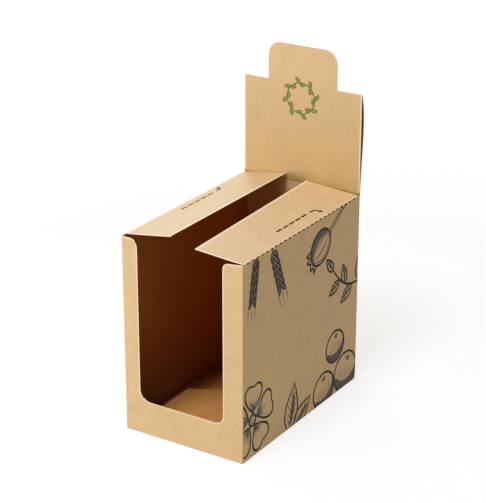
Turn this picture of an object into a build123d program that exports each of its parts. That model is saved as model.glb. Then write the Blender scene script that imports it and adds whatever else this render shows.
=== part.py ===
from build123d import *

import os

# A small counter display box folded from one die-cut sheet of kraft board.
# Seen from the front: +X right, +Y back, +Z up, millimetres.
# The origin is the centre of the overall footprint, on the surface it stands on.

# Board
board = 0.6
fold_round = 0.5
lower_fold_round = 0.45

# Box
width = 100.0
depth = 160.0
height = 150.0

# Front wall and its U-shaped cut-out
left_post = 13.0
right_post = 16.3
lip_height = 26.0
left_foot_round = 9.0
right_foot_round = 7.0
left_post_round = 6.5
right_post_round = 4.5
right_post_drop = 1.8

# Header: a rear leaf, folded over its top edge into a front leaf that ends as a glue panel
header_height = 77.0
header_bulge = 3.0
bulge_height = 55.0
glue_panel_depth = 32.0
glue_panel_round = 4.0
leaf_relief = 0.5
leaf_start_lean = 0.02
leaf_end_lean = 0.3
crease_lift = 1.0
crease_radius = 0.4

# Display tab, cut out of the rear leaf and standing in the plane of the front leaf
tab_width = 58.3
tab_height = 29.0
tab_round = 10.5
tab_offset = 0.15

# Top flaps, hinged on the upper edges of the side walls
left_flap_front = 38.0
left_flap_back = 38.0
left_flap_setback = 6.0
left_flap_tilt = 9.0
right_flap_front = 40.0
right_flap_back = 45.0
right_flap_setback = 2.2
right_flap_tilt = 4.2
flap_clearance = 0.4
flap_header_gap = 0.7
hinge_clearance = 0.12
perforation_cut = 3.0
perforation_pitch = 6.0
perforation_slit = 0.45
wall_slit = 0.9

# Side seam, glued inside the left wall at the back corner
seam_width = 14.0
seam_end_gap = 4.0
seam_end_slant = 8.0
seam_clearance = 1.0

# Snap-lock bottom, in layers one board apart; places along Y count from the middle of the depth
panel_side_gap = 3.6
panel_fold_start = 1.0
front_panel_rise = 4.0
side_flap_rise = 1.5
ear_side_place = -7.0
ear_tip_place = 7.5
ear_tip_half = 18.5
notch_half = 13.0
notch_place = -8.0
lock_shoulder_half = 17.5
lock_hook_half = 7.0
lock_hook_slant = 5.0
lock_hook_length = 19.0
side_flap_end_gap = 6.0
side_flap_front_slant = 24.0
side_flap_back_slant = 18.0
back_panel_place = 3.0
tongue_root_half = 11.5
tongue_tip_half = 6.0
tongue_run = 16.0
tongue_lap = 11.5
tongue_round = 4.0

# How far a cutting shape runs past the faces that it cuts
past = 1.0

# Places that the sizes above give
front = -(depth + header_bulge) / 2
back = front + depth
left = -width / 2
right = width / 2
top = height + header_height
inside_back = back - board
leaf_front = back - 2 * board
cutout_left = left + left_post
cutout_right = right - right_post
flap_back = leaf_front - flap_header_gap
glue_panel_half = width / 2 - 2 * board - seam_clearance
middle = (front + back) / 2
notch_end = middle + notch_place
tongue_foot = notch_end + tongue_run


def closed_face(points):
    """A flat face bounded by straight lines between the points."""
    return make_face(Polyline(*points, close=True))


def along_x(face, start, end):
    """A face drawn in (Y, Z), extruded along X between two places."""
    return extrude(Plane.YZ.offset(start) * face, end - start)


def along_y(face, start, end):
    """A face drawn in (X, Z), extruded along Y between two places."""
    return extrude(Plane.XZ.offset(-end) * face, end - start)


def along_z(face, start, end):
    """A face drawn in (X, Y), extruded along Z between two places."""
    return extrude(Pos(0, 0, start) * face, end - start)


def board_strip(lower_line):
    """The closed outline of a board whose underside follows a line of (distance, height) points."""
    upper_line = [(distance, level + board) for distance, level in reversed(lower_line)]
    return lower_line + upper_line


def wall_tube():
    """The four walls, with rounded folds down the corners and under the lower edges."""
    outline = Pos(0, middle) * RectangleRounded(width, depth, fold_round)
    outside = along_z(outline, 0, height)
    outside = fillet(outside.faces().sort_by(Axis.Z)[0].edges(), lower_fold_round)
    hollow = Pos(0, middle) * Rectangle(width - 2 * board, depth - 2 * board)
    return outside - along_z(hollow, 0, height)


def front_cutout():
    """The U-shaped window of the front wall, open at the top, with the uneven tops of its posts."""
    above = height + past
    edge = FilletPolyline(
        (left, height),
        (cutout_left, height),
        (cutout_left, lip_height),
        (cutout_right, lip_height),
        (cutout_right, height - right_post_drop),
        (right, height),
        radius=[left_post_round, left_foot_round, right_foot_round, right_post_round],
    )
    closing = Polyline((right, height), (right, above), (left, above), (left, height))
    return along_y(make_face(edge + closing), front - past, front + board)


def flap_mitres():
    """The 45 degree edge of each side wall's top, where a top flap folds from it."""
    reach = board + past
    cuts = []
    for side, setback in ((-1, left_flap_setback), (1, right_flap_setback)):
        hinge = side * width / 2
        points = [(hinge, height), (hinge - side * reach, height), (hinge - side * reach, height - reach)]
        cuts.append(along_y(closed_face(points), front + setback - flap_clearance, leaf_front))
    return cuts


def perforation(side, setback, slit):
    """Copies of a slit along a top flap's fold, with ties of board between them."""
    flap_front = front + setback
    first = flap_front + perforation_cut + perforation_cut / 2
    count = int((flap_back - flap_front - perforation_cut) // perforation_pitch)
    hinge = side * width / 2
    return [Pos(hinge, first + perforation_pitch * number, height) * slit for number in range(count)]


def wall_perforation():
    """The slits in the top edges of both side walls."""
    slit = Box(4 * board, perforation_cut, 2 * wall_slit)
    return perforation(-1, left_flap_setback, slit) + perforation(1, right_flap_setback, slit)


def side_seam():
    """The seam flap, turned from the back wall on to the inside of the left wall."""
    glued = inside_back - seam_width
    points = [
        (inside_back, seam_end_gap),
        (inside_back, height - seam_end_gap),
        (glued, height - seam_end_gap - seam_end_slant),
        (glued, seam_end_gap + seam_end_slant),
    ]
    return along_x(closed_face(points), left + board, left + 2 * board)


def leaf_line(face_y):
    """The curved line of the rear leaf, swelling from the box's top edge up to the top fold."""
    peak = (face_y + header_bulge, height + bulge_height)
    lower = Spline((face_y, height), peak, tangents=[(leaf_start_lean, 1), (0, 1)])
    upper = Spline(peak, (face_y, top - board), tangents=[(0, 1), (-leaf_end_lean, 1)])
    return lower + upper


def header_leaves():
    """Both leaves and their top fold, with the slim space that the rear leaf's swelling leaves."""
    fold_start = top - board
    fold = ThreePointArc((back, fold_start), (inside_back, top), (leaf_front, fold_start))
    straight = Polyline((leaf_front, fold_start), (leaf_front, height), (back, height))
    whole = make_face(leaf_line(back) + fold + straight)
    space_side = Line((inside_back, fold_start), (inside_back, height))
    space = make_face(leaf_line(inside_back) + space_side)
    leaves = along_x(whole, left, right) - along_x(space, left - past, right + past)
    groove = Rot(0, 90, 0) * Cylinder(crease_radius, width + 2 * past)
    leaves -= Pos(0, leaf_front, height + crease_lift) * groove
    for side in (-1, 1):
        inner = side * glue_panel_half
        outer = side * (width / 2 + past)
        low = height - past
        high = height + leaf_relief
        relief = closed_face([(inner, low), (outer, low), (outer, high), (inner, high)])
        leaves -= along_y(relief, leaf_front - past, inside_back)
    return leaves


def tab_outline(root):
    """The tab's face in (X, height above the top fold), from a root line up to its rounded corners."""
    half = tab_width / 2
    points = [(-half, root), (-half, tab_height), (half, tab_height), (half, root)]
    edge = FilletPolyline(*points, radius=tab_round)
    return Pos(tab_offset, 0) * make_face(edge + Line(points[-1], points[0]))


def display_tab():
    """The tab above the top fold."""
    return along_y(Pos(0, top) * tab_outline(-board), leaf_front, inside_back)


def tab_window():
    """The opening that the tab leaves in the rear leaf, the same outline turned down from the fold."""
    outline = Pos(0, top) * mirror(tab_outline(-past), Plane.XZ)
    return along_y(outline, inside_back, back + header_bulge + past)


def glue_panel():
    """The end of the front leaf, glued to the inside of the back wall."""
    low = height - glue_panel_depth
    half = glue_panel_half
    points = [(-half, height), (-half, low), (half, low), (half, height)]
    edge = FilletPolyline(*points, radius=glue_panel_round)
    return along_y(make_face(edge + Line(points[-1], points[0])), leaf_front, inside_back)


def front_panel():
    """The first bottom panel: widest, innermost, with two ears and a notch for the tongue."""
    half = width / 2 - board - panel_side_gap
    level = 2 * board
    hinge = front + board / 2
    strip = board_strip([
        (hinge, 0),
        (hinge + panel_fold_start, 0),
        (hinge + panel_fold_start + front_panel_rise, level),
        (middle + ear_tip_place, level),
    ])
    side = [
        (half, front),
        (half, middle + ear_side_place),
        (ear_tip_half, middle + ear_tip_place),
        (notch_half, notch_end),
    ]
    outline = side + [(-x, y) for x, y in reversed(side)]
    return along_x(closed_face(strip), -half, half) & along_z(closed_face(outline), 0, 4 * board)


def side_bottom_flap(side):
    """A hooked bottom flap of the left or right wall, between the front and back panels."""
    hinge = width / 2 - board / 2
    strip = board_strip([
        (hinge, 0),
        (hinge - panel_fold_start, 0),
        (hinge - panel_fold_start - side_flap_rise, board),
        (0, board),
    ])
    outline = [
        (hinge, front + side_flap_end_gap),
        (lock_shoulder_half, front + side_flap_end_gap + side_flap_front_slant),
        (lock_shoulder_half, tongue_foot),
        (lock_hook_half, tongue_foot + lock_hook_slant),
        (lock_hook_half, tongue_foot + lock_hook_slant + lock_hook_length),
        (lock_shoulder_half, back - side_flap_end_gap - side_flap_back_slant),
        (hinge, back - side_flap_end_gap),
    ]
    level_part = along_y(closed_face([(side * x, z) for x, z in strip]), front, back)
    return level_part & along_z(closed_face([(side * x, y) for x, y in outline]), 0, 3 * board)


def back_panel():
    """The last bottom panel, outermost, whose tongue passes up through the front panel's notch."""
    half = width / 2 - board - panel_side_gap
    hinge = back - board / 2
    shoulder = middle + back_panel_place
    tip = notch_end - tongue_lap
    level = 3 * board
    strip = board_strip([(hinge, 0), (tongue_foot, 0), (notch_end, level), (tip, level)])
    panel = closed_face([(-half, hinge), (-half, shoulder), (half, shoulder), (half, hinge)])
    tongue_edge = FilletPolyline(
        (-tongue_root_half, tongue_foot),
        (-tongue_root_half, notch_end),
        (-tongue_tip_half, tip),
        (tongue_tip_half, tip),
        (tongue_root_half, notch_end),
        (tongue_root_half, tongue_foot),
        radius=tongue_round,
    )
    tongue_end = Line((tongue_root_half, tongue_foot), (-tongue_root_half, tongue_foot))
    tongue = make_face(tongue_edge + tongue_end)
    sheet = along_x(closed_face(strip), -half, half)
    return sheet & (along_z(panel, 0, board) + along_z(tongue, 0, 5 * board))


def carton_body():
    """Walls, seam, header and bottom: one sheet, folded and glued."""
    walls = wall_tube() - front_cutout() - flap_mitres() - wall_perforation()
    header = header_leaves() - tab_window() + display_tab()
    bottom = front_panel() + side_bottom_flap(-1) + side_bottom_flap(1) + back_panel()
    return walls + side_seam() + header + glue_panel() + bottom


def top_flap(side, front_width, back_width, setback, tilt):
    """A top flap with a mitred, perforated hinge edge, raised by its tilt from lying flat."""
    hinge = width / 2 - hinge_clearance
    strip = [(hinge, height), (hinge - board, height - board), (0, height - board), (0, height)]
    flap_front = front + setback
    outline = [
        (hinge, flap_front),
        (hinge, flap_back),
        (width / 2 - back_width, flap_back),
        (width / 2 - front_width, flap_front),
    ]
    solid = along_y(closed_face([(side * x, z) for x, z in strip]), flap_front, flap_back)
    solid &= along_z(closed_face([(side * x, y) for x, y in outline]), height - 2 * board, height + board)
    solid -= perforation(side, setback, Box(2 * perforation_slit, perforation_cut, 4 * board))
    return solid.rotate(Axis((side * width / 2, 0, height), (0, side, 0)), tilt)


parts = {
    "carton_body": carton_body(),
    "left_top_flap": top_flap(-1, left_flap_front, left_flap_back, left_flap_setback, left_flap_tilt),
    "right_top_flap": top_flap(1, right_flap_front, right_flap_back, right_flap_setback, right_flap_tilt),
}

os.makedirs("parts", exist_ok=True)
for node, shape in parts.items():
    export_step(shape, f"parts/{node}.step")
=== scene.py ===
"""Looks of a counter display box of brown kraft board: its board finish, its print, and the studio around it."""

import cmath
import math
import random
from collections import namedtuple

import bmesh
import bpy
from bpy.props import FloatProperty, FloatVectorProperty, PointerProperty
from mathutils import Matrix, Vector


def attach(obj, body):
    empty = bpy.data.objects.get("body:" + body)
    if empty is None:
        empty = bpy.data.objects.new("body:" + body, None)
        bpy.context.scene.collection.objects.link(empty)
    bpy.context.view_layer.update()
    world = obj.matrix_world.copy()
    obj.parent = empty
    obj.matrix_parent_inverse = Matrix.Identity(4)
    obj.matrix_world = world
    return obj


bl_info = {
    "name": "Display box",
    "version": (1, 0, 0),
    "blender": (4, 5, 0),
    "location": "View3D > Sidebar > Display box",
    "description": "Finishes and prints a kraft display box on its packed frame, and lights it in a studio",
    "category": "Object",
}

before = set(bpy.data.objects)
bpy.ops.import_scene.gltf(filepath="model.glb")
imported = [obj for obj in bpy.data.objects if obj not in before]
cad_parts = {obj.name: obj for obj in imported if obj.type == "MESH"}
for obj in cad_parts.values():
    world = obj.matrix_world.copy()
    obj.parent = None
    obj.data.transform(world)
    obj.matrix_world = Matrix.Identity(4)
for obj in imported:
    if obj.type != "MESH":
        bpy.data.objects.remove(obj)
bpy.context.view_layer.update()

MM = 0.001
BODY_NODE, BODY_RIDE, BOARD_SLOT = "carton_body", "carton", "kraft_board"

# The carton in millimetres, as the frame has it.
HALF_WIDTH, HEIGHT, TOP = 50.0, 150.0, 227.0
FRONT, BACK, LEAF_FRONT, BOARD = -81.5, 78.5, 77.3, 0.6
GLUE_PANEL_HALF = 47.8

# One side of the front cut-out, -1 left or 1 right: the middle and the radius of its foot's rounding, and the top of
# its post with the radius and the slope there.
Foot = namedtuple("Foot", "side middle level radius top top_radius slope")
CUTOUT_FEET = (
    Foot(side=-1, middle=28.0, level=35.0, radius=9.0, top=150.0, top_radius=6.5, slope=0.0),
    Foot(side=1, middle=26.7, level=33.0, radius=7.0, top=148.2, top_radius=4.5, slope=0.1104),
)

# A top flap on the wall at side: its tilt, how much painted light brightens or darkens its two ends, and how far from
# its fold its marks stand.
Flap = namedtuple("Flap", "node ride side tilt front_tone back_tone mark_row")
FLAPS = (
    Flap("left_top_flap", "left_flap", -1, math.radians(9.0), 0.97, 0.94, 8.0),
    Flap("right_top_flap", "right_flap", 1, math.radians(4.2), 1.02, 1.07, 12.0),
)


# ---------------- settings


def colour_setting(name, description, default, most=1):
    return FloatVectorProperty(
        name=name, description=description, subtype="COLOR", min=0, max=most, default=default)


def length_setting(name, description, least, most, default):
    return FloatProperty(
        name=name, description=description, subtype="DISTANCE", unit="LENGTH", min=least, max=most, default=default)


def power_setting(name, description, default):
    return FloatProperty(name=name, description=description, unit="POWER", min=0, max=200, default=default)


class BoardSettings(bpy.types.PropertyGroup):
    outside: colour_setting("Outside", "Colour of the board's outer face", (0.66, 0.455, 0.222))
    inside: colour_setting("Inside", "Colour of the board's inner face", (0.66, 0.325, 0.085))
    # Painted shade: this darker, redder colour stands in for shade on the inner faces and under the flaps.
    deep: colour_setting(
        "Deep inside", "Colour of the inner face where little light reaches it", (0.37, 0.098, 0.011))
    cut_edge: colour_setting("Cut edge", "Colour of the board's cut edges", (0.94, 0.81, 0.61))
    fleck: length_setting("Fleck length", "Length of the fibres that show in the board", 0.0005, 0.02, 0.0035)
    roughness: FloatProperty(
        name="Roughness", description="Roughness of the uncoated board", subtype="FACTOR", min=0, max=1,
        default=0.55)


class PrintSettings(bpy.types.PropertyGroup):
    ink: colour_setting("Ink", "Colour of the print", (0.004, 0.004, 0.008))
    shade: colour_setting("Shade", "Colour of the shaded parts of the print", (0.075, 0.068, 0.075))
    leaf: colour_setting("Wreath leaves", "Colour of the header's wreath", (0.095, 0.185, 0.035))
    berry: colour_setting("Wreath berries", "Colour of the berries in the wreath", (0.78, 0.16, 0.02))
    outline: length_setting("Outline", "Width of the outlines of the print", 0.0002, 0.003, 0.0018)
    inner_line: length_setting("Inner line", "Width of the lines inside a motif", 0.0001, 0.002, 0.00105)


class StudioSettings(bpy.types.PropertyGroup):
    key_power: power_setting("Key lamp", "Power of the soft lamp in front and above", 15.5)
    front_power: power_setting("Front lamp", "Power of the low lamp in front on the left", 4.5)
    back_power: power_setting("Back lamp", "Power of the low lamp behind on the left", 7.0)
    key_colour: colour_setting("Key colour", "Colour of the key lamp", (0.97, 0.99, 1.12), most=2)
    ambient: FloatProperty(
        name="Ambient", description="Strength of the even light from all round", min=0, max=2, default=0.42)
    ambient_colour: colour_setting(
        "Ambient colour", "Colour of the even light from all round", (1.0, 0.90, 0.71))
    floor: colour_setting("Floor", "Colour of the floor that the box stands on", (0.6, 0.6, 0.6))


# ---------------- objects


def add_object(name, data):
    piece = bpy.data.objects.new(name, data)
    bpy.context.scene.collection.objects.link(piece)
    return piece


def mesh_from(shape, name, materials):
    """The mesh of a finished bmesh, which is freed."""
    mesh = bpy.data.meshes.new(name)
    shape.to_mesh(mesh)
    shape.free()
    for material in materials:
        mesh.materials.append(material)
    return mesh


# ---------------- shader building


def add_node(tree, kind, inputs=None, **settings):
    """A new node. An input given as a socket is linked, and one given as a value is set."""
    node = tree.nodes.new(kind)
    for name, value in settings.items():
        setattr(node, name, value)
    for key, value in (inputs or {}).items():
        if isinstance(value, bpy.types.NodeSocket):
            tree.links.new(value, node.inputs[key])
        else:
            node.inputs[key].default_value = value
    return node


def calc(tree, operation, *terms, clamp=False):
    """The result of one Math node."""
    return add_node(tree, "ShaderNodeMath", dict(enumerate(terms)), operation=operation, use_clamp=clamp).outputs[0]


def product(tree, *terms):
    result = terms[0]
    for term in terms[1:]:
        result = calc(tree, "MULTIPLY", result, term)
    return result


def largest(tree, *terms):
    result = terms[0]
    for term in terms[1:]:
        result = calc(tree, "MAXIMUM", result, term)
    return result


def opposite(tree, share):
    """What a share leaves of the whole."""
    return calc(tree, "SUBTRACT", 1.0, share)


def split(tree, vector):
    """The three parts of a vector."""
    return add_node(tree, "ShaderNodeSeparateXYZ", {0: vector}).outputs


def dot(tree, vector, direction):
    """How far a place lies along a direction."""
    inputs = {0: vector, 1: direction}
    return add_node(tree, "ShaderNodeVectorMath", inputs, operation="DOT_PRODUCT").outputs["Value"]


def blend_colour(tree, share, one, other, mode="MIX"):
    """The result of one colour Mix node."""
    node = add_node(tree, "ShaderNodeMix", data_type="RGBA", blend_type=mode, clamp_factor=True)
    for key, value in ((0, share), (6, one), (7, other)):
        if isinstance(value, bpy.types.NodeSocket):
            tree.links.new(value, node.inputs[key])
        else:
            node.inputs[key].default_value = value if key == 0 else (*value, 1.0)
    return node.outputs[2]


def ramp_between(tree, value, low, high, to_low=0.0, to_high=1.0):
    """value between low and high, brought to between to_low and to_high."""
    inputs = {0: value, 1: low, 2: high, 3: to_low, 4: to_high}
    return add_node(tree, "ShaderNodeMapRange", inputs, clamp=True).outputs[0]


def new_material(name):
    """A material with its Principled shader, its tree, and the object's own coordinates."""
    material = bpy.data.materials.new(name)
    material.use_nodes = True
    tree = material.node_tree
    shader = tree.nodes["Principled BSDF"]
    where = tree.nodes.new("ShaderNodeTexCoord").outputs
    return material, tree, shader, where


def add_bump(tree, shader, height, distance, strength):
    inputs = {"Height": height, "Distance": distance, "Strength": strength}
    tree.links.new(add_node(tree, "ShaderNodeBump", inputs).outputs[0], shader.inputs["Normal"])


# The fibres of the board lie in four directions: every other one pale, and the rest dark.
FIBRE_TURNS = ((0.3, 0.5, 0.2), (1.1, 0.3, 1.4), (0.4, 1.3, 2.3), (1.9, 0.8, 0.7))
FIBRE_SLIMNESS, FIBRE_SHARPNESS = 5.5, 14.0
# A fibre shows where its noise is over this, at no flecks and at the most flecks.
FIBRE_FEWEST, FIBRE_MOST = 0.80, 0.60
GRAIN_FREQUENCY = 1000.0


def fibre_group():
    """Fibre, mottle and grain of recycled board, in the object's own coordinates."""
    group = bpy.data.node_groups.get("board_fibre")
    if group:
        return group
    group = bpy.data.node_groups.new("board_fibre", "ShaderNodeTree")
    sockets = group.interface
    sockets.new_socket("Place", in_out="INPUT", socket_type="NodeSocketVector")
    for name, default in (("Fleck Length", 0.0035), ("Fleck Amount", 0.5), ("Mottle Size", 0.014)):
        sockets.new_socket(name, in_out="INPUT", socket_type="NodeSocketFloat").default_value = default
    for name in ("Mottle", "Grain", "Dark Fleck", "Pale Fleck", "Height"):
        sockets.new_socket(name, in_out="OUTPUT", socket_type="NodeSocketFloat")
    given = group.nodes.new("NodeGroupInput").outputs
    place = given["Place"]

    def noise(vector, scale, detail, roughness=0.5):
        inputs = {"Vector": vector, "Scale": scale, "Detail": detail, "Roughness": roughness}
        return add_node(group, "ShaderNodeTexNoise", inputs).outputs[0]

    frequency = calc(group, "DIVIDE", 1.0, given["Fleck Length"])
    threshold = ramp_between(group, given["Fleck Amount"], 0.0, 1.0, FIBRE_FEWEST, FIBRE_MOST)
    stretch = (1.0, FIBRE_SLIMNESS, FIBRE_SLIMNESS)
    fibres = []
    for turn in FIBRE_TURNS:
        turned = add_node(group, "ShaderNodeMapping", {"Vector": place, "Rotation": turn}).outputs[0]
        stretched = add_node(group, "ShaderNodeVectorMath", {0: turned, 1: stretch}, operation="MULTIPLY").outputs[0]
        above = calc(group, "SUBTRACT", noise(stretched, frequency, 1.0), threshold)
        fibres.append(calc(group, "MULTIPLY", above, FIBRE_SHARPNESS, clamp=True))
    pale, dark = largest(group, *fibres[::2]), largest(group, *fibres[1::2])
    mottle = noise(place, calc(group, "DIVIDE", 1.0, given["Mottle Size"]), 4.0, 0.6)
    grain = noise(place, GRAIN_FREQUENCY, 3.0, 0.75)
    height = calc(group, "ADD", product(group, grain, 0.6), product(group, pale, 0.5))
    results = {"Mottle": mottle, "Grain": grain, "Dark Fleck": dark, "Pale Fleck": pale, "Height": height}
    add_node(group, "NodeGroupOutput", results)
    return group


def fibre(tree, place, length, amount=0.5, mottle=0.014):
    """Places the fibre group in a material, with its own values."""
    inputs = {"Place": place, "Fleck Length": length, "Fleck Amount": amount, "Mottle Size": mottle}
    return add_node(tree, "ShaderNodeGroup", inputs, node_tree=fibre_group()).outputs


# ---------------- the board

# What the masks give for each point of the board. All are shares from 0 to 1, but shade is a brightness, which paints
# light and shade. Besides the board's inner face and its cut edges, the masks paint light and shade: painted shade
# inside, painted shadow in creases, slits and cut faces in shade, pale worn rims that are partly painted highlight,
# and a tint of painted light.
Masks = namedtuple("Masks", "inner deep cut dark rubbed shade toned")

PALE_FLECK, DARK_FLECK, DARK_EDGE = (0.92, 0.74, 0.48), (0.26, 0.14, 0.05), (0.88, 0.72, 0.50)
SHADOW_BROWN = (0.050, 0.020, 0.006)
# Flecks show this much, and pale ones that much less on the inner face.
FLECK_SHARE, INSIDE_FLECK_LESS = 0.30, 0.22
# The colours of painted light: warm light and warmer shade on the carton, and a pale sheen on the flaps.
CARTON_WARM_LIGHT, FLAP_SHEEN = (0.66, 0.40, 0.10), (0.66, 0.60, 0.46)

# A share that changes along the board: from start to end in millimetres, and its value at both.
Fade = namedtuple("Fade", "start end at_start at_end")
# Painted light and shade along the carton: darker low on the side walls, warmer light near their front and more light
# towards their back; painted shade on the bottom and the header; warm bounce light on the header and warmer shade at
# its foot; light through the slot; and pale worn rims at the lip and the posts, partly painted highlight.
SIDE_WALL_DARK_UP, SIDE_WALL_DARK_ALONG = Fade(2.0, 75.0, 0.92, 0.0), Fade(FRONT, BACK, 1.0, 0.25)
SIDE_WALL_WARM_UP, SIDE_WALL_WARM_ALONG = Fade(40.0, 120.0, 0.0, 1.0), Fade(FRONT, 0.0, 0.12, 0.0)
SIDE_WALL_LIT_ALONG = Fade(-30.0, 60.0, 0.0, 0.35)
BOTTOM_PAINTED_SHADE_ACROSS, BOTTOM_DARK_ACROSS = Fade(30.0, 42.0, 0.55, 1.0), Fade(-44.0, -30.0, 0.6, 0.1)
HEADER_DARK_UP = Fade(TOP - 12.0, TOP + 12.0, 0.14, 0.07)
HEADER_WARM_UP = Fade(HEIGHT, TOP - 5.0, 0.48, 0.06)
HEADER_FOOT_WARM_UP = Fade(HEIGHT + 1.0, HEIGHT + 12.0, 0.85, 0.0)
SLOT_ACROSS, SLOT_UP = Fade(9.0, 21.0, 1.0, 0.0), Fade(122.0, 142.0, 0.0, 1.0)
LIP_RUBBED_AND_HIGHLIT_UP, POST_RUBBED_AND_HIGHLIT_UP = Fade(25.0, 31.0, 0.45, 1.0), Fade(HEIGHT - 6.0, HEIGHT - 3.0, 1.0, 0.75)

# The glue panel shows the outer face: this share everywhere, and that much more where light falls through the slot,
# which is painted light. It gets this much less painted shade, and the slot this much painted light as brightness.
PANEL_BARE, PANEL_BARE_IN_SLOT, PANEL_LESS_PAINTED_SHADE, SLOT_LIT = 0.18, 0.42, 0.15, 0.18
# How much of a pale painted sheen the flaps have at their front and at their back.
FLAP_SHEEN_FRONT, FLAP_SHEEN_BACK = 0.24, 0.03
# How wide the pale rims are, in millimetres: partly wear, and partly a painted highlight of the lit cut edge.
CUT_RIM, FLAP_RIM, FOLD_RIM = 0.85, 1.7, 0.9
# The scored line at the header's foot, and the perforation's slits in the walls, in millimetres, where painted shade
# darkens the crease and the slits.
CREASE_LEVEL, CREASE_REACH, CREASE_DEPTH, CREASE_DARK = HEIGHT + 1.0, 0.42, 0.8, 0.45
SLIT_MIDDLE, SLIT_REACH = HEIGHT - 0.45, 0.5
# How much painted shade darkens a flap's cut faces that face right.
FLAP_SIDEWAYS_CUT_DARK = 0.8
# How far a face is turned to an axis, from half way to square on it. TAB_TURNED is for the tab's edges.
HALF_TURNED, TAB_TURNED, TURNED, SQUARE_ON = 0.5, 0.6, 0.7, 0.8
# Margins in millimetres.
SKIN, SNUG, MARGIN, PANEL_MARGIN, LOOSE = 0.04, 0.05, 0.1, 0.15, 0.2
SIDE_WALL_PAINTED_SHADE_FROM, FLAP_END = 0.4, 0.5


def board_material(name, find_masks, painted_light_colour):
    """Kraft board, whose masks find_masks(tree, where) makes in the material."""
    look = bpy.context.scene.display_board
    material, tree, shader, where = new_material(name)
    paper = fibre(tree, where["Object"], look.fleck)
    masks = find_masks(tree, where)

    face = blend_colour(tree, masks.inner, look.outside, look.inside)
    # Painted shade: a darker, redder colour where the inside is in shade.
    face = blend_colour(tree, masks.deep, face, look.deep)
    # A tint of painted light: warm light and warmer shade on the carton, sheen on the flaps.
    face = blend_colour(tree, masks.toned, face, painted_light_colour)
    tone = calc(tree, "ADD", ramp_between(tree, paper["Mottle"], 0.3, 0.7, 0.94, 1.05),
                ramp_between(tree, paper["Grain"], 0.2, 0.8, -0.16, 0.16))
    # The masks' shade paints light and shade as brightness.
    tone = product(tree, tone, masks.shade)
    grey = add_node(tree, "ShaderNodeCombineColor", {0: tone, 1: tone, 2: tone}).outputs[0]
    face = blend_colour(tree, 1.0, face, grey, "MULTIPLY")
    pale_share = calc(tree, "MULTIPLY_ADD", masks.inner, -INSIDE_FLECK_LESS, FLECK_SHARE)
    face = blend_colour(tree, product(tree, paper["Pale Fleck"], pale_share), face, PALE_FLECK)
    face = blend_colour(tree, product(tree, paper["Dark Fleck"], FLECK_SHARE), face, DARK_FLECK)

    edge = blend_colour(tree, ramp_between(tree, paper["Grain"], 0.35, 0.75), look.cut_edge, DARK_EDGE)
    # Pale worn rims, partly a painted highlight of the lit edges.
    worn = product(tree, masks.rubbed, ramp_between(tree, paper["Grain"], 0.3, 0.6, 0.5, 0.95))
    face = blend_colour(tree, largest(tree, masks.cut, worn), face, edge)
    # Painted shadow in creases, slits and cut faces in shade.
    tree.links.new(blend_colour(tree, masks.dark, face, SHADOW_BROWN), shader.inputs["Base Color"])
    shine = ramp_between(tree, paper["Mottle"], 0.3, 0.7, look.roughness - 0.05, look.roughness + 0.06)
    dull = product(tree, largest(tree, masks.cut, masks.dark), 0.4)
    tree.links.new(calc(tree, "ADD", shine, dull, clamp=True), shader.inputs["Roughness"])
    shader.inputs["Specular IOR Level"].default_value = 0.42
    add_bump(tree, shader, paper["Height"], 0.04 * MM, 0.6)
    return material


def over(tree, value, limit):
    """1 where a place is over a limit in millimetres."""
    return calc(tree, "GREATER_THAN", value, limit * MM)


def under(tree, value, limit):
    """1 where a place is under a limit in millimetres."""
    return calc(tree, "LESS_THAN", value, limit * MM)


def within(tree, value, middle, reach):
    """1 where a place is no further from the middle than reach, in millimetres."""
    return calc(tree, "COMPARE", value, middle * MM, reach * MM)


def fade(tree, value, change):
    """The share that a Fade gives at a place."""
    return ramp_between(tree, value, change.start * MM, change.end * MM, change.at_start, change.at_end)


def rounded(tree, one, other):
    """The length of the part of (one, other) that is above 0."""
    parts = [calc(tree, "POWER", calc(tree, "MAXIMUM", value, 0.0), 2.0) for value in (one, other)]
    return calc(tree, "SQRT", calc(tree, "ADD", *parts))


def from_cutout(tree, x, z):
    """How far a point of the front wall is from the edge of its cut-out, in metres."""
    feet = []
    for foot in CUTOUT_FEET:
        outward = calc(tree, "SUBTRACT", product(tree, x, float(foot.side)), foot.middle * MM)
        down = calc(tree, "SUBTRACT", foot.level * MM, z)
        from_side = calc(tree, "SUBTRACT", rounded(tree, outward, down), foot.radius * MM)
        along_top = calc(tree, "SUBTRACT", outward, foot.radius * MM)
        from_top = calc(tree, "SUBTRACT", calc(tree, "MULTIPLY_ADD", along_top, foot.slope, foot.top * MM), z)
        corner = rounded(tree, calc(tree, "SUBTRACT", foot.top_radius * MM, from_side),
                         calc(tree, "SUBTRACT", foot.top_radius * MM, from_top))
        feet.append(calc(tree, "SUBTRACT", foot.top_radius * MM, corner))
    return largest(tree, *feet)


class BoardPoint:
    """Where a point of the carton lies and how it faces, as sockets of its material."""

    def __init__(self, tree, where):
        self.x, self.y, self.z = split(tree, where["Object"])
        facing = split(tree, where["Normal"])
        across, self.along, self.upright = (calc(tree, "ABSOLUTE", part) for part in facing)
        self.side = calc(tree, "ABSOLUTE", self.x)
        self.sideways = calc(tree, "GREATER_THAN", across, TURNED)
        self.lengthways = calc(tree, "GREATER_THAN", self.along, TURNED)
        self.not_backward = calc(tree, "LESS_THAN", facing["Y"], HALF_TURNED)
        self.before_back = under(tree, self.y, BACK - BOARD / 2)
        self.over_walls = over(tree, self.z, HEIGHT + 1.0)


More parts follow.
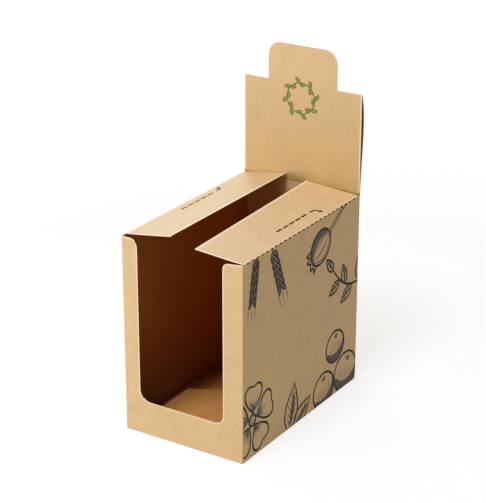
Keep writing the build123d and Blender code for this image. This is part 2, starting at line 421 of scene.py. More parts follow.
def inside_masks(tree, point):
    """The board's brown inner face, and the painted shade, darkness, warm light and light on it."""
    half = BOARD / 2
    x, y, z, side = point.x, point.y, point.z, point.side
    below_top = under(tree, z, HEIGHT + half)
    glue_panel = product(tree, within(tree, y, LEAF_FRONT, PANEL_MARGIN), under(tree, side, GLUE_PANEL_HALF),
                         point.lengthways)
    # The part of the glue panel where light falls through the slot, which gets painted light.
    in_slot = product(tree, fade(tree, side, SLOT_ACROSS), glue_panel, fade(tree, z, SLOT_UP), below_top)
    bare_panel = product(tree, glue_panel, calc(tree, "MULTIPLY_ADD", in_slot, PANEL_BARE_IN_SLOT, PANEL_BARE))
    inner = product(tree, under(tree, side, HALF_WIDTH - half), over(tree, y, FRONT + half), point.before_back,
                    over(tree, z, half), below_top, opposite(tree, bare_panel))
    side_wall = product(tree, inner, point.sideways)
    # Painted shade on the back wall's inner face, all but where light falls through the slot.
    back_wall = product(tree, inner, point.lengthways, over(tree, y, 0.0), over(tree, z, 3.0),
                        opposite(tree, in_slot), calc(tree, "MULTIPLY_ADD", glue_panel, -PANEL_LESS_PAINTED_SHADE, 1.0))
    # The front panel is the highest layer of the bottom, and gets no painted shade.
    bottom = product(tree, inner, calc(tree, "GREATER_THAN", point.upright, SQUARE_ON),
                     under(tree, z, 3 * BOARD - MARGIN))
    # Painted shade: the inner side walls, the back wall and the bottom's lower layers, more towards the walls.
    deep = largest(tree, product(tree, side_wall, over(tree, z, SIDE_WALL_PAINTED_SHADE_FROM)), back_wall,
                   product(tree, bottom, fade(tree, side, BOTTOM_PAINTED_SHADE_ACROSS)))
    # Painted shade, darker low on the side walls and most near the front, and on the bottom's lower layers near the
    # left wall.
    low_down = product(tree, side_wall, fade(tree, z, SIDE_WALL_DARK_UP), fade(tree, y, SIDE_WALL_DARK_ALONG))
    dark = largest(tree, low_down, product(tree, bottom, fade(tree, x, BOTTOM_DARK_ACROSS)))
    # Painted warm light high on the side walls near the front.
    warm = product(tree, side_wall, fade(tree, y, SIDE_WALL_WARM_ALONG), fade(tree, z, SIDE_WALL_WARM_UP))
    # Painted light where light falls through the slot, and towards the back of the side walls.
    lit = largest(tree, product(tree, in_slot, SLOT_LIT),
                  product(tree, side_wall, fade(tree, y, SIDE_WALL_LIT_ALONG)))
    return inner, deep, dark, warm, lit


def cut_masks(tree, point):
    """The cut edges that show pale, and those that face the inside, which get painted shade."""
    y, z, side = point.y, point.z, point.side
    cutout = product(tree, under(tree, side, HALF_WIDTH - 1.0), under(tree, y, FRONT + BOARD + SNUG),
                     calc(tree, "LESS_THAN", point.along, TURNED), over(tree, z, 1.0))
    header_sides = product(tree, over(tree, z, HEIGHT + 1.5), under(tree, z, TOP - BOARD), point.sideways,
                           point.before_back)
    tab = product(tree, over(tree, z, TOP + MARGIN), calc(tree, "LESS_THAN", point.along, TAB_TURNED))
    bottom = product(tree, under(tree, z, 3.0), over(tree, z, SNUG),
                     calc(tree, "LESS_THAN", point.upright, HALF_TURNED),
                     under(tree, side, HALF_WIDTH - BOARD - LOOSE), over(tree, y, FRONT + BOARD + LOOSE),
                     under(tree, y, BACK - BOARD - LOOSE))
    pale = largest(tree, product(tree, cutout, opposite(tree, point.sideways)), header_sides, tab, bottom)
    return pale, product(tree, cutout, point.sideways)


def carton_masks(tree, where):
    """Faces and edges of the carton body, from the place and the facing of each point."""
    point = BoardPoint(tree, where)
    x, y, z, side = point.x, point.y, point.z, point.side
    inner, deep, dark_inside, warm_inside, lit = inside_masks(tree, point)
    cut, dark_cut = cut_masks(tree, point)

    # Painted shade in the gap between the header's two leaves.
    behind_tab = product(tree, over(tree, y, BACK - BOARD / 2), point.not_backward, point.over_walls,
                         under(tree, z, TOP - BOARD))
    header = product(tree, point.over_walls, point.lengthways, point.before_back)
    # Painted warm light: low on the header as light from the flaps, at its foot as warmer shade, and high on the side
    # walls near the front.
    warm = largest(tree, warm_inside, product(tree, header, fade(tree, z, HEADER_WARM_UP)),
                   product(tree, header, fade(tree, z, HEADER_FOOT_WARM_UP)))
    # Painted shade low on the side walls, on the bottom and on the header; painted light through the slot and towards
    # the back of the side walls.
    dimmed = largest(tree, dark_inside, product(tree, header, fade(tree, z, HEADER_DARK_UP)))
    shade = product(tree, opposite(tree, dimmed), calc(tree, "ADD", 1.0, lit))

    # Painted shade along the crease at the header's foot, in the perforation's slits, and on the cut-out's sideways
    # cut faces.
    crease = product(tree, within(tree, z, CREASE_LEVEL, CREASE_REACH), within(tree, y, LEAF_FRONT, CREASE_DEPTH),
                     CREASE_DARK)
    level = calc(tree, "GREATER_THAN", point.upright, SQUARE_ON)
    slits = product(tree, over(tree, side, HALF_WIDTH - BOARD - MARGIN), within(tree, z, SLIT_MIDDLE, SLIT_REACH),
                    over(tree, y, FRONT + 2.0), largest(tree, point.lengthways, level))
    # Pale worn rims round the cut-out and along the header's sides, partly wear and partly a painted highlight of the
    # lit cut edge.
    cutout_rim = product(tree, under(tree, y, FRONT + SNUG), under(tree, from_cutout(tree, x, z), CUT_RIM),
                         fade(tree, z, LIP_RUBBED_AND_HIGHLIT_UP), fade(tree, z, POST_RUBBED_AND_HIGHLIT_UP))
    header_rim = product(tree, header, over(tree, side, HALF_WIDTH - CUT_RIM), over(tree, z, HEIGHT + 2.0))
    return Masks(inner=inner, deep=largest(tree, deep, behind_tab), cut=cut,
                 dark=largest(tree, crease, slits, dark_cut), rubbed=largest(tree, cutout_rim, header_rim),
                 shade=shade, toned=warm)


def flap_masks(flap):
    """A function that makes the masks of a flap's faces and edges."""
    normal = Vector((flap.side * math.sin(flap.tilt), 0, math.cos(flap.tilt)))
    corners = [v.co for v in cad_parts[flap.node].data.vertices]
    outer_level = max(co.dot(normal) for co in corners)
    on_top = [co for co in corners if outer_level - co.dot(normal) < SNUG * MM]
    front, back = (end(co.y for co in on_top) for end in (min, max))
    free_front, free_back = (
        min(abs(co.x) for co in on_top if abs(co.y - end) < FLAP_END * MM) for end in (front, back))
    slant = (free_back - free_front) / (back - front)

    def masks(tree, where):
        x, y, _ = split(tree, where["Object"])
        facing = split(tree, where["Normal"])
        depth = calc(tree, "SUBTRACT", outer_level, dot(tree, where["Object"], normal))
        underside = over(tree, depth, BOARD / 2)
        outside = opposite(tree, underside)
        cut = product(tree, over(tree, depth, SKIN), under(tree, depth, BOARD - SKIN))
        from_middle = product(tree, x, float(flap.side))
        from_front = calc(tree, "SUBTRACT", y, front)
        free_edge = calc(tree, "MULTIPLY_ADD", from_front, slant, free_front)
        to_right = calc(tree, "GREATER_THAN", facing["X"], HALF_TURNED)
        # Painted shade on the cut faces at the fold and on those that face right.
        dark = largest(tree, product(tree, cut, over(tree, from_middle, HALF_WIDTH - BOARD - LOOSE)),
                       product(tree, cut, to_right, FLAP_SIDEWAYS_CUT_DARK))
        # Pale worn rims along the free edge, the front and the fold, partly wear and partly a painted highlight of
        # the lit edge.
        rubbed = largest(tree, under(tree, calc(tree, "SUBTRACT", from_middle, free_edge), FLAP_RIM),
                         under(tree, from_front, CUT_RIM), over(tree, from_middle, HALF_WIDTH - FOLD_RIM))
        # A painted sheen, paler towards the front.
        painted_sheen = ramp_between(tree, y, front, back, FLAP_SHEEN_FRONT, FLAP_SHEEN_BACK)
        # The underside gets painted shade, and shade paints light and shade along the flap.
        return Masks(inner=underside, deep=product(tree, underside, 0.7), cut=cut, dark=dark,
                     rubbed=product(tree, rubbed, outside),
                     shade=ramp_between(tree, y, front, back, flap.front_tone, flap.back_tone),
                     toned=product(tree, outside, painted_sheen))

    return masks


def assign(node, material):
    """Gives a CAD node's material slots this material. Its mesh stays as it is."""
    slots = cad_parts[node].material_slots
    if not slots:
        raise RuntimeError(f"{node} has no material slot")
    for slot in slots:
        slot.material = material


class DISPLAY_OT_board(bpy.types.Operator):
    """Finish the carton body and both flaps as kraft board with pale cut edges"""

    bl_idname = "display.board"
    bl_label = "Kraft board"

    def execute(self, context):
        assign(BODY_NODE, board_material("carton_board", carton_masks, CARTON_WARM_LIGHT))
        for flap in FLAPS:
            assign(flap.node, board_material(flap.ride + "_board", flap_masks(flap), FLAP_SHEEN))
        return {"FINISHED"}


# ---------------- drawing

# Which of a print's inks a shape takes.
PEN, SECOND = 0, 1
# Pen strokes are flattened to this share of their width, about a plane this far off the board, in millimetres.
PEN_FLATNESS, PEN_LIFT = 0.035, 0.015
# The lower face and the thickness of a filled patch, in millimetres.
PATCH_LIFT, PATCH_THICKNESS = 0.002, 0.025
# Points closer than this are one, in metres.
MERGE_DISTANCE = 1e-7
CHANCE_SEED = 11


class Drawing:
    """Pen strokes and filled patches on a flat sheet. A point is a complex number of millimetres, across and up."""

    def __init__(self, look):
        self.outline, self.inner = look.outline, look.inner_line
        self.chance = random.Random(CHANCE_SEED)
        self.strokes, self.patches = [], []

    def stroke(self, points, width, closed=False, taper=0.55):
        self.strokes.append((list(points), width, closed, taper))

    def patch(self, points, ink=SECOND):
        self.patches.append((list(points), ink))


def at(place, degrees=0.0):
    """A function that puts a motif's own points on the sheet."""
    turn = cmath.rect(1.0, math.radians(degrees))
    return lambda points: [place + turn * p for p in points]


def arc(centre, across, up, start, end, count):
    """Points on an oval, from one angle to another, in degrees."""
    angles = [math.radians(start + (end - start) * i / (count - 1)) for i in range(count)]
    return [centre + complex(across * math.cos(a), up * math.sin(a)) for a in angles]


def pen_mesh(drawing, name):
    """The strokes as closed round tubes along the sheet, in metres."""
    curve = bpy.data.curves.new(name, "CURVE")
    curve.dimensions = "3D"
    curve.bevel_depth = 1.0
    curve.bevel_resolution = 1
    curve.use_fill_caps = True
    curve.resolution_u = 5
    for points, width, closed, taper in drawing.strokes:
        spline = curve.splines.new("NURBS")
        spline.points.add(len(points) - 1)
        for index, (knot, point) in enumerate(zip(spline.points, points)):
            knot.co = (point.real * MM, point.imag * MM, 0.0, 1.0)
            off_middle = abs(2 * index / (len(points) - 1) - 1)
            knot.radius = width / 2 * (1.0 if closed else 1 - taper * off_middle**3)
        spline.order_u = 3
        spline.use_endpoint_u = not closed
        spline.use_cyclic_u = closed
    holder = add_object(name, curve)
    mesh = bpy.data.meshes.new_from_object(holder.evaluated_get(bpy.context.evaluated_depsgraph_get()))
    bpy.data.objects.remove(holder)
    bpy.data.curves.remove(curve)
    return mesh


def add_patch(shape, points, ink):
    """A filled patch of the print, as a thin closed plate."""
    base = shape.faces.new([shape.verts.new((p.real * MM, p.imag * MM, PATCH_LIFT * MM)) for p in points])
    raised = bmesh.ops.extrude_face_region(shape, geom=[base])["geom"]
    bmesh.ops.translate(shape, vec=(0, 0, PATCH_THICKNESS * MM),
                        verts=[part for part in raised if isinstance(part, bmesh.types.BMVert)])
    upper = {part for part in raised if isinstance(part, bmesh.types.BMFace)}
    for face in upper | {face for vert in base.verts for face in vert.link_faces}:
        face.material_index = ink


def trim(shape, low, high):
    """Cuts a print off at the edges of the face that it lies on, and closes the cuts."""
    for corner, outward in ((low, (-1, 0, 0)), (low, (0, -1, 0)), (high, (1, 0, 0)), (high, (0, 1, 0))):
        cut = bmesh.ops.bisect_plane(
            shape, geom=shape.verts[:] + shape.edges[:] + shape.faces[:], dist=MERGE_DISTANCE,
            plane_co=(corner.real * MM, corner.imag * MM, 0), plane_no=outward, clear_outer=True)["geom_cut"]
        rim = [part for part in cut if isinstance(part, bmesh.types.BMEdge)]
        bmesh.ops.holes_fill(shape, edges=rim, sides=0)


def print_piece(name, drawing, origin, across, up, ride, materials, room=None):
    """Lays a drawing on a face of the box. room is the face's lowest and highest corner, where the print ends."""
    shape = bmesh.new()
    pen = pen_mesh(drawing, name + "_pen")
    shape.from_mesh(pen)
    bpy.data.meshes.remove(pen)
    bmesh.ops.remove_doubles(shape, verts=shape.verts, dist=MERGE_DISTANCE)
    bmesh.ops.scale(shape, vec=(1, 1, PEN_FLATNESS), verts=shape.verts)
    bmesh.ops.translate(shape, vec=(0, 0, PEN_LIFT * MM), verts=shape.verts)
    for points, ink_index in drawing.patches:
        add_patch(shape, points, ink_index)
    if room:
        trim(shape, *room)
    bmesh.ops.recalc_face_normals(shape, faces=shape.faces)
    placed = Matrix((across, up, across.cross(up))).transposed().to_4x4()
    placed.translation = origin
    bmesh.ops.transform(shape, matrix=placed, verts=shape.verts)
    piece = add_object(name, mesh_from(shape, name, materials))
    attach(piece, ride)


# How much of the board shows through each ink.
INK_WEAR = {"ink": 0.05, "shade": 0.45, "leaf": 0.2, "berry": 0.2}


def ink_material(name, colour, wear):
    """Water-based ink that the board's fibres show through."""
    look = bpy.context.scene.display_board
    material, tree, shader, where = new_material(name)
    paper = fibre(tree, where["Object"], look.fleck * 0.6, 0.62, 0.006)
    worn = calc(tree, "ADD", ramp_between(tree, paper["Grain"], 0.45, 0.85, 0.0, wear),
                product(tree, paper["Pale Fleck"], wear * 0.7), clamp=True)
    tree.links.new(blend_colour(tree, worn, colour, look.outside), shader.inputs["Base Color"])
    tree.links.new(ramp_between(tree, paper["Mottle"], 0.3, 0.7, 0.60, 0.72), shader.inputs["Roughness"])
    shader.inputs["Specular IOR Level"].default_value = 0.2
    add_bump(tree, shader, paper["Height"], 0.02 * MM, 0.4)
    return material


def ink(name):
    """The material of one of the print's inks, made when it is first used."""
    colour = getattr(bpy.context.scene.display_print, name)
    return bpy.data.materials.get("print_" + name) or ink_material("print_" + name, colour, INK_WEAR[name])


def crescent(across, up):
    """The shaded underside of an oval."""
    rim = arc(0, 0.93, 0.91, -165, 18, 18) + arc(-0.06 + 0.30j, 0.92, 0.74, -2, -138, 16)
    return [complex(p.real * across, p.imag * up) for p in rim]


def draw_leaf(sheet, put, length, width, veins):
    """A leaf with its midrib, its side veins and a dark lower half, from its stalk at 0 to its tip."""
    ribs = [0.10 + 0.12 * i for i in range(7)]
    below = [complex(t, 0) * length - 1j * width * 0.24 * math.sin(math.pi * t) ** 0.8 for t in reversed(ribs[1:-1])]
    sheet.patch(put([t * length for t in ribs] + below))
    for side in (1j, -1j):
        rim = [0, 0.16 * length + 0.40 * width * side, 0.45 * length + 0.56 * width * side,
               0.78 * length + 0.30 * width * side, length]
        sheet.stroke(put(rim), sheet.outline)
        for index in range(veins):
            start = length * (0.14 + 0.66 * index / veins)
            reach = width * 0.36 * math.sin(math.pi * (0.22 + 0.62 * (index + 0.5) / veins))
            vein = [start, start + 0.10 * length + 0.5 * reach * side, start + 0.17 * length + reach * side]
            sheet.stroke(put(vein), sheet.inner, taper=0.8)
    midrib = [0, 0.3 * length + 0.02j * width, 0.6 * length - 0.02j * width, 0.95 * length]
    sheet.stroke(put(midrib), sheet.inner * 1.2)


def draw_solid_leaf(sheet, put, length, width):
    """A small filled leaf, in two halves with a bare midrib between them."""
    for side in (1j, -1j):
        rim = [length * t + side * width * (0.06 + 0.46 * math.sin(math.pi * t) ** 0.8) for t in
               (0.04, 0.15, 0.3, 0.45, 0.6, 0.75, 0.88, 0.96)]
        midrib = [length * 0.96 + side * width * 0.05, length * 0.04 + side * width * 0.05]
        sheet.patch(put(rim + midrib), PEN)


def draw_sprig(sheet, put, length, leaves, leaf_length):
    """A bent stalk with leaves on both sides and one at its tip."""
    def stalk(share):
        return length * share + 1j * 0.16 * length * math.sin(math.pi * share)

    def leaf_at(share, lean_degrees, size, width):
        foot = put([stalk(share)])[0]
        lean = turn * cmath.rect(1, math.radians(lean_degrees))
        draw_leaf(sheet, lambda points: [foot + lean * p for p in points], size, width, 3)

    sheet.stroke(put([stalk(i / 4) for i in range(5)]), sheet.outline * 1.1, taper=0.4)
    turn = put([1])[0] - put([0])[0]
    for index in range(leaves):
        share = 0.12 + 0.62 * index / (leaves - 1)
        side = 1 if index % 2 else -1
        grown = leaf_length * (1 - 0.25 * share)
        leaf_at(share, side * (60 - 14 * share), grown, grown * 0.42)
    leaf_at(1.0, -26, leaf_length * 0.8, leaf_length * 0.32)


def draw_grain(sheet, put, length, ear):
    """A stalk of grain whose ear has two rows of seeds with their beards."""
    sheet.stroke(put([0, 0.4 * length + 0.03j * length, length + 0j]), sheet.outline, taper=0.3)
    seeds = 6
    seed = ear / seeds * 1.55
    for index in range(seeds):
        foot = length + ear * index / seeds
        for side in (1, -1):
            lean = cmath.rect(1, math.radians(side * 26))
            hull = [0, seed * (0.35 + 0.26j * side), seed * (0.8 + 0.16j * side), seed]
            inner_hull = [0, seed * (0.4 - 0.16j * side), seed * (0.8 - 0.06j * side), seed]
            for rim in (hull, inner_hull):
                sheet.stroke(put([foot + lean * p for p in rim]), sheet.outline * 0.8)
            dark = (0.12, 0.42 + 0.13j * side, 0.80 + 0.08j * side, 0.90, 0.5 - 0.02j * side)
            sheet.patch(put([foot + lean * seed * p for p in dark]))
            beard = [foot + lean * seed, foot + lean * seed * 1.5, foot + seed * 2.1 + 0.42j * side * seed]
            sheet.stroke(put(beard), sheet.inner * 0.8, taper=0.9)
    sheet.stroke(put([length + ear, length + ear + seed * 0.5, length + ear + seed * 1.4]), sheet.inner, taper=0.9)


def draw_blossom(sheet, put, radius, petals):
    """An open flower with notched petals, lines in each petal, and a dotted middle."""
    turns = [cmath.rect(1, 2 * math.pi * index / petals) for index in range(petals)]
    for turn in turns:
        for side in (1, -1):
            rim = [0.20 * radius, complex(0.42, 0.26 * side) * radius, complex(0.80, 0.46 * side) * radius,
                   complex(1.04, 0.24 * side) * radius, complex(0.94, 0.0) * radius]
            sheet.stroke(put([turn * p for p in rim]), sheet.outline, taper=0.3)
        for side in (-0.5, -0.22, 0.06, 0.3, 0.52):
            reach = sheet.chance.uniform(0.48, 0.68)
            line = [complex(0.26, 0.10 * side) * radius, complex(0.42, 0.24 * side) * radius,
                    complex(reach, 0.42 * side) * radius]
            sheet.stroke(put([turn * p for p in line]), sheet.inner, taper=0.8)
    sheet.stroke(put(arc(0, 0.17 * radius, 0.17 * radius, 0, 320, 9)), sheet.outline, closed=True)
    for turn in turns:
        base = (0.22, 0.34 + 0.07j, 0.52 + 0.08j, 0.40, 0.50 - 0.10j, 0.32 - 0.07j)
        sheet.patch(put([turn * p * radius for p in base]))
    for index in range(7):
        spot = cmath.rect(0.09 * radius, index * 2 * math.pi / 7 + 0.3) if index else 0
        sheet.patch(put(arc(spot, 0.030 * radius, 0.030 * radius, 0, 300, 6)))


def draw_berry(sheet, put, radius):
    """A round berry with a dark side, curved shade lines and a star where it was flower."""
    sheet.stroke(put(arc(0, radius, radius * 0.96, 0, 330, 12)), sheet.outline, closed=True)
    sheet.patch(put(crescent(radius, radius * 0.96)))
    for index in range(5):
        bend = -0.6 + 1.2 * (index + 0.5) / 5
        low, high = -0.40, sheet.chance.uniform(0.05, 0.4)
        line = [complex(bend * 0.9, low) * radius, complex(bend * 1.15, (low + high) / 2) * radius,
                complex(bend * 0.95, high) * radius]
        sheet.stroke(put(line), sheet.inner, taper=0.9)
    middle = complex(0.12, 0.60) * radius
    for index in range(5):
        ray = cmath.rect(0.24 * radius, 2 * math.pi * index / 5 + 0.3)
        sheet.stroke(put([middle, middle + ray * 0.6, middle + complex(ray.real, ray.imag * 0.6)]), sheet.inner * 1.3)


def draw_seed_head(sheet, put, radius):
    """A round ribbed seed head on its stalk, with a scalloped crown."""
    sheet.stroke(put(arc(0, radius, radius * 0.86, 0, 330, 12)), sheet.outline, closed=True)
    sheet.patch(put(crescent(radius, radius * 0.86)))
    for bend in (-0.22, 0.22, 0.62):
        rib = [complex(-0.92, bend * 0.18), complex(-0.4, bend * 1.15), complex(0.4, bend * 1.15),
               complex(0.92, bend * 0.2)]
        sheet.stroke(put([p * radius for p in rib]), sheet.inner, taper=0.6)
    crown = [0.74 - 0.54j, 1.14 - 0.62j, 1.00 - 0.34j, 1.30 - 0.28j, 1.08 + 0j, 1.30 + 0.28j, 1.00 + 0.34j,
             1.14 + 0.62j, 0.74 + 0.54j]
    for start, middle, end in zip(crown[::2], crown[1::2], crown[2::2]):
        sheet.stroke(put([p * radius for p in (start, middle, middle, end)]), sheet.outline, taper=0.1)
    for side in (0.09, -0.09):
        stalk = [complex(-0.96, side), complex(-2.0, side * 0.8 - 0.10), complex(-3.6, side * 0.8 + 0.05)]
        sheet.stroke(put([p * radius for p in stalk]), sheet.inner * 1.2, taper=0.2)


# The motifs of the right wall: what is drawn, its place (along the wall from the frame's origin, and up from the
# floor), its turn in degrees, and its own sizes.
WALL_MOTIFS = (
    (draw_blossom, -69 + 29j, 14, (27.0, 5)),
    (draw_grain, -47 + 158j, -70, (11.0, 36.0)),
    (draw_grain, -63 + 158j, -99, (9.0, 33.0)),
    (draw_seed_head, 22 + 128j, 212, (15.0,)),
    (draw_sprig, 87 + 82j, 156, (50.0, 4, 21.0)),
    (draw_berry, 30 + 10j, 12, (15.5,)),
    (draw_berry, 62 + 13j, -10, (17.0,)),
    (draw_berry, 46 + 40j, 4, (13.5,)),
    (draw_leaf, -20 - 3j, 78, (38.0, 17.0, 5)),
    (draw_leaf, -14 - 3j, 36, (30.0, 13.0, 4)),
)
# How far from the wall's edges the print ends.
WALL_MARGIN = 0.6


class DISPLAY_OT_wall_print(bpy.types.Operator):
    """Print garden motifs round the edges of the right wall"""

    bl_idname = "display.wall_print"
    bl_label = "Right wall print"

    def execute(self, context):
        sheet = Drawing(context.scene.display_print)
        for draw, place, degrees, sizes in WALL_MOTIFS:
            draw(sheet, at(place, degrees), *sizes)
        low = complex(FRONT + WALL_MARGIN, WALL_MARGIN)
        high = complex(BACK - WALL_MARGIN, HEIGHT - WALL_MARGIN)
        print_piece("right_wall_print", sheet, Vector((HALF_WIDTH * MM, 0, 0)), Vector((0, 1, 0)),
                    Vector((0, 0, 1)), BODY_RIDE, [ink("ink"), ink("shade")], (low, high))
        return {"FINISHED"}


# A row of dashes along a fold: where it starts, and the sizes of its dashes, in millimetres.
DASH_START, DASH_LENGTH, DASH_GAP, DASH_COUNT, DASH_THICKNESS = -19.0, 6.6, 1.8, 5, 1.7
# The bent arrow after it: how far along the fold each point is, and how much of the row's distance is left there.
ARROW = ((26.0, 1.0), (30.5, 1.0), (32.5, 0.9), (33.0, 0.55))
ARROW_TIP, ARROW_BARB = 2.2, -1.6 + 2.1j


def draw_fold_mark(sheet, row):
    """A row of dashes along a fold, at a distance from it, and a bent arrow that points at it."""
    for index in range(DASH_COUNT):
        low = DASH_START + index * (DASH_LENGTH + DASH_GAP) + row - 0.8j
        sheet.patch([low, low + DASH_LENGTH, low + DASH_LENGTH + 1j * DASH_THICKNESS, low + 1j * DASH_THICKNESS], PEN)
    arrow = [along + row * left for along, left in ARROW]
    sheet.stroke(arrow, DASH_THICKNESS * MM, taper=0.0)
    end = arrow[-1]
    way = (end - arrow[-2]) / abs(end - arrow[-2])
    sheet.patch([end + way * ARROW_TIP, end + way * ARROW_BARB, end + way * ARROW_BARB.conjugate()], PEN)


class DISPLAY_OT_flap_marks(bpy.types.Operator):
    """Print a row of dashes and an arrow on each flap, beside its fold"""

    bl_idname = "display.flap_marks"
    bl_label = "Flap marks"

    def execute(self, context):
        for flap in FLAPS:
            inward = Vector((-flap.side * math.cos(flap.tilt), 0, math.sin(flap.tilt)))
            normal = Vector((flap.side * math.sin(flap.tilt), 0, math.cos(flap.tilt)))
            outermost = max(v.co.dot(normal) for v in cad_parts[flap.node].data.vertices)
            hinge = Vector((flap.side * HALF_WIDTH * MM, 0, HEIGHT * MM))
            origin = hinge + normal * (outermost - hinge.dot(normal))
            sheet = Drawing(context.scene.display_print)
            draw_fold_mark(sheet, 1j * flap.side * flap.mark_row)
            print_piece(flap.ride + "_marks", sheet, origin, Vector((0, 1, 0)), inward * flap.side, flap.ride,
                        [ink("ink")])
        return {"FINISHED"}


# The header's wreath in millimetres and degrees. Every fourth leaf has a berry beside it.
WREATH_MIDDLE, WREATH_RADIUS, WREATH_LEAVES = -1 + 216j, 12.0, 16
WREATH_LEAF_LENGTH, WREATH_LEAF_WIDTH, WREATH_LEAF_LEAN = 6.4, 3.0, 34
WREATH_BERRY_RADIUS, WREATH_BERRY_INWARD, WREATH_BERRY_AHEAD = 1.2, 3.2, 8


class DISPLAY_OT_header_print(bpy.types.Operator):
    """Print a small wreath of leaves on the header"""

    bl_idname = "display.header_print"
    bl_label = "Header print"

    def execute(self, context):
        sheet = Drawing(context.scene.display_print)
        step = 360 / WREATH_LEAVES
        for index in range(WREATH_LEAVES):
            angle = step * index
            foot = WREATH_MIDDLE + cmath.rect(WREATH_RADIUS, math.radians(angle))
            lean = WREATH_LEAF_LEAN if index % 2 else -WREATH_LEAF_LEAN
            draw_solid_leaf(sheet, at(foot, angle + 90 + lean), WREATH_LEAF_LENGTH, WREATH_LEAF_WIDTH)
            if index % 4 == 1:
                berry = WREATH_MIDDLE + cmath.rect(WREATH_RADIUS - WREATH_BERRY_INWARD,
                                                   math.radians(angle + WREATH_BERRY_AHEAD))
                sheet.patch(arc(berry, WREATH_BERRY_RADIUS, WREATH_BERRY_RADIUS, 0, 330, 12))
        ring = arc(WREATH_MIDDLE, WREATH_RADIUS, WREATH_RADIUS, 0, 360 - step, WREATH_LEAVES)
        sheet.stroke(ring, sheet.inner, closed=True)
        print_piece("header_print", sheet, Vector((0, LEAF_FRONT * MM, 0)), Vector((1, 0, 0)), Vector((0, 0, 1)),
                    BODY_RIDE, [ink("leaf"), ink("berry")])
        return {"FINISHED"}


# ---------------- studio

# The camera of the photo, in metres and millimetres of lens.
CAMERA_PLACE = (0.623876, -0.977208, 0.597895)
CAMERA_WAY = (-0.49883528, 0.77881661, -0.38027364)
CAMERA_LENS, CAMERA_SENSOR = 124.284, 36.0
CAMERA_NEAR, CAMERA_FAR = 0.01, 50.0

# Where the lamps point, and for each lamp its size, the way from there to it, and its distance, in metres.
LAMP_TARGET = Vector((0, 0, 0.1))
KEY_LAMP = (0.5, (0.0, -0.46, 0.88), 1.6)
FRONT_LAMP = (0.3, (-0.70, -0.70, 0.04), 1.0)
BACK_LAMP = (1.0, (-0.62, 0.76, 0.20), 1.7)

# Half the floor's width in metres, and how far it lies below the box, so that the two don't touch.
FLOOR_HALF, FLOOR_DROP = 6.0, 0.1 * MM
# The grey that shows the floor's shadows, and the painted shadow under the box.
SHADOW_FLOOR, PAINTED_SHADOW_UNDER_BOX = (0.28, 0.28, 0.28), (0.04, 0.024, 0.012)
# The floor glows from this strength near the box up to white, between these distances in metres.
GLOW_NEAR, GLOW_FAR, GLOW_AT_BOX = 0.4, 1.6, 0.74
WHITE = (1, 1, 1)


def seen_directly(tree):
    """1 for the camera's own rays and for what gloss and glass show, 0 for light that falls on the object."""
    path = tree.nodes.new("ShaderNodeLightPath").outputs
    return largest(tree, path["Is Camera Ray"], path["Is Glossy Ray"], path["Is Transmission Ray"])


def floor_material(colour):
    """Pale floor that is white to the eye, keeps a light shadow, and has painted shadow where the box covers it."""
    material = bpy.data.materials.new("studio_floor")
    material.use_nodes = True
    tree = material.node_tree
    tree.nodes.clear()
    where = tree.nodes.new("ShaderNodeTexCoord").outputs["Object"]
    x, y, _ = split(tree, where)
    # Under the box the floor gets painted shadow and no glow.
    covered = product(tree, within(tree, x, 0.0, HALF_WIDTH - BOARD / 2),
                      within(tree, y, (FRONT + BACK) / 2, (BACK - FRONT - BOARD) / 2))
    lighting = add_node(tree, "ShaderNodeBsdfDiffuse", {"Color": (*colour, 1)}).outputs[0]
    shadow_colour = blend_colour(tree, covered, SHADOW_FLOOR, PAINTED_SHADOW_UNDER_BOX)
    shadow = add_node(tree, "ShaderNodeBsdfDiffuse", {"Color": shadow_colour}).outputs[0]
    distance = add_node(tree, "ShaderNodeVectorMath", {0: where}, operation="LENGTH").outputs["Value"]
    glow = product(tree, ramp_between(tree, distance, GLOW_NEAR, GLOW_FAR, GLOW_AT_BOX, 1.0), opposite(tree, covered))
    white = add_node(tree, "ShaderNodeEmission", {"Color": (*WHITE, 1), "Strength": glow}).outputs[0]
    shown = add_node(tree, "ShaderNodeAddShader", {0: shadow, 1: white}).outputs[0]
    mixed = add_node(tree, "ShaderNodeMixShader", {0: seen_directly(tree), 1: lighting, 2: shown}).outputs[0]
    add_node(tree, "ShaderNodeOutputMaterial", {"Surface": mixed})
    return material


def add_floor(colour):
    shape = bmesh.new()
    bmesh.ops.create_grid(shape, x_segments=1, y_segments=1, size=FLOOR_HALF)
    bmesh.ops.translate(shape, vec=(0, 0, -FLOOR_DROP), verts=shape.verts)
    floor = add_object("studio_floor", mesh_from(shape, "studio_floor", [floor_material(colour)]))


def add_world(strength, colour):
    """Even light from all round, before a background that the camera sees as white."""
    world = bpy.data.worlds.new("studio_light")
    world.use_nodes = True
    tree = world.node_tree
    tree.nodes.clear()
    seen = seen_directly(tree)
    inputs = {"Color": blend_colour(tree, seen, colour, WHITE),
              "Strength": ramp_between(tree, seen, 0.0, 1.0, strength, 1.0)}
    sky = add_node(tree, "ShaderNodeBackground", inputs).outputs[0]
    add_node(tree, "ShaderNodeOutputWorld", {"Surface": sky})
    bpy.context.scene.world = world


def add_lamp(name, lamp, power, colour=WHITE):
    size, way, distance = lamp
    data = bpy.data.lights.new(name, "AREA")
    data.shape = "SQUARE"
    data.size = size
    data.energy = power
    data.color = colour
    holder = add_object(name, data)
    place = LAMP_TARGET + Vector(way).normalized() * distance
    holder.location = place
    holder.rotation_euler = (LAMP_TARGET - place).to_track_quat("-Z", "Y").to_euler()


def add_camera():
    data = bpy.data.cameras.new("photo_camera")
    data.sensor_width = CAMERA_SENSOR
    data.lens = CAMERA_LENS
    data.clip_start, data.clip_end = CAMERA_NEAR, CAMERA_FAR
    camera = add_object("photo_camera", data)
    camera.location = CAMERA_PLACE
    camera.rotation_euler = Vector(CAMERA_WAY).to_track_quat("-Z", "Y").to_euler()
    bpy.context.scene.camera = camera


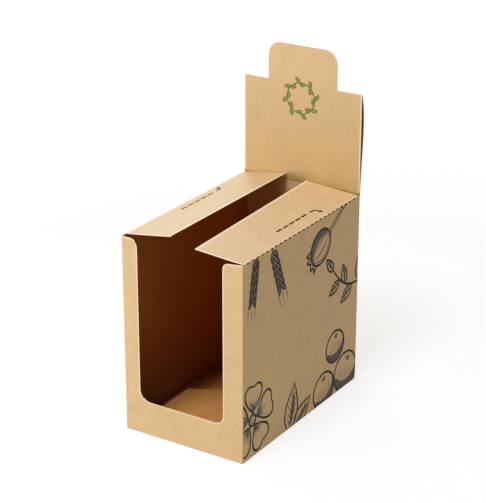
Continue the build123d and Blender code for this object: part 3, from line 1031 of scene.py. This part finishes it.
class DISPLAY_OT_studio(bpy.types.Operator):
    """Set up the floor, the even light, the lamps and the camera"""

    bl_idname = "display.studio"
    bl_label = "Studio"

    def execute(self, context):
        look = context.scene.display_studio
        add_floor(look.floor)
        add_world(look.ambient, look.ambient_colour)
        add_lamp("key_lamp", KEY_LAMP, look.key_power, look.key_colour)
        add_lamp("front_lamp", FRONT_LAMP, look.front_power)
        add_lamp("back_lamp", BACK_LAMP, look.back_power)
        add_camera()
        context.scene.view_settings.view_transform = "Standard"
        return {"FINISHED"}


# ---------------- panel and run


class DISPLAY_PT_panel(bpy.types.Panel):
    """Pieces and settings of the display box"""

    bl_idname = "DISPLAY_PT_panel"
    bl_label = "Display box"
    bl_space_type = "VIEW_3D"
    bl_region_type = "UI"
    bl_category = "Display box"

    def draw(self, context):
        for operators, settings in SECTIONS:
            box = self.layout.box()
            for operator in operators:
                box.operator(operator.bl_idname)
            group = getattr(context.scene, settings)
            for name in group.__annotations__:
                box.prop(group, name)


# The panel's sections: their operators, and the scene property that holds their settings.
SECTIONS = (
    ((DISPLAY_OT_board,), "display_board"),
    ((DISPLAY_OT_wall_print, DISPLAY_OT_header_print, DISPLAY_OT_flap_marks), "display_print"),
    ((DISPLAY_OT_studio,), "display_studio"),
)
SETTINGS = {"display_board": BoardSettings, "display_print": PrintSettings, "display_studio": StudioSettings}
CLASSES = (*SETTINGS.values(), DISPLAY_OT_board, DISPLAY_OT_wall_print, DISPLAY_OT_header_print,
           DISPLAY_OT_flap_marks, DISPLAY_OT_studio, DISPLAY_PT_panel)


def register():
    for cls in CLASSES:
        bpy.utils.register_class(cls)
    for name, group in SETTINGS.items():
        setattr(bpy.types.Scene, name, PointerProperty(type=group))


def unregister():
    for name in SETTINGS:
        delattr(bpy.types.Scene, name)
    for cls in reversed(CLASSES):
        bpy.utils.unregister_class(cls)


def main():
    register()
    bpy.ops.display.board()
    bpy.ops.display.wall_print()
    bpy.ops.display.header_print()
    bpy.ops.display.flap_marks()
    bpy.ops.display.studio()


if __name__ == "__main__":
    main()
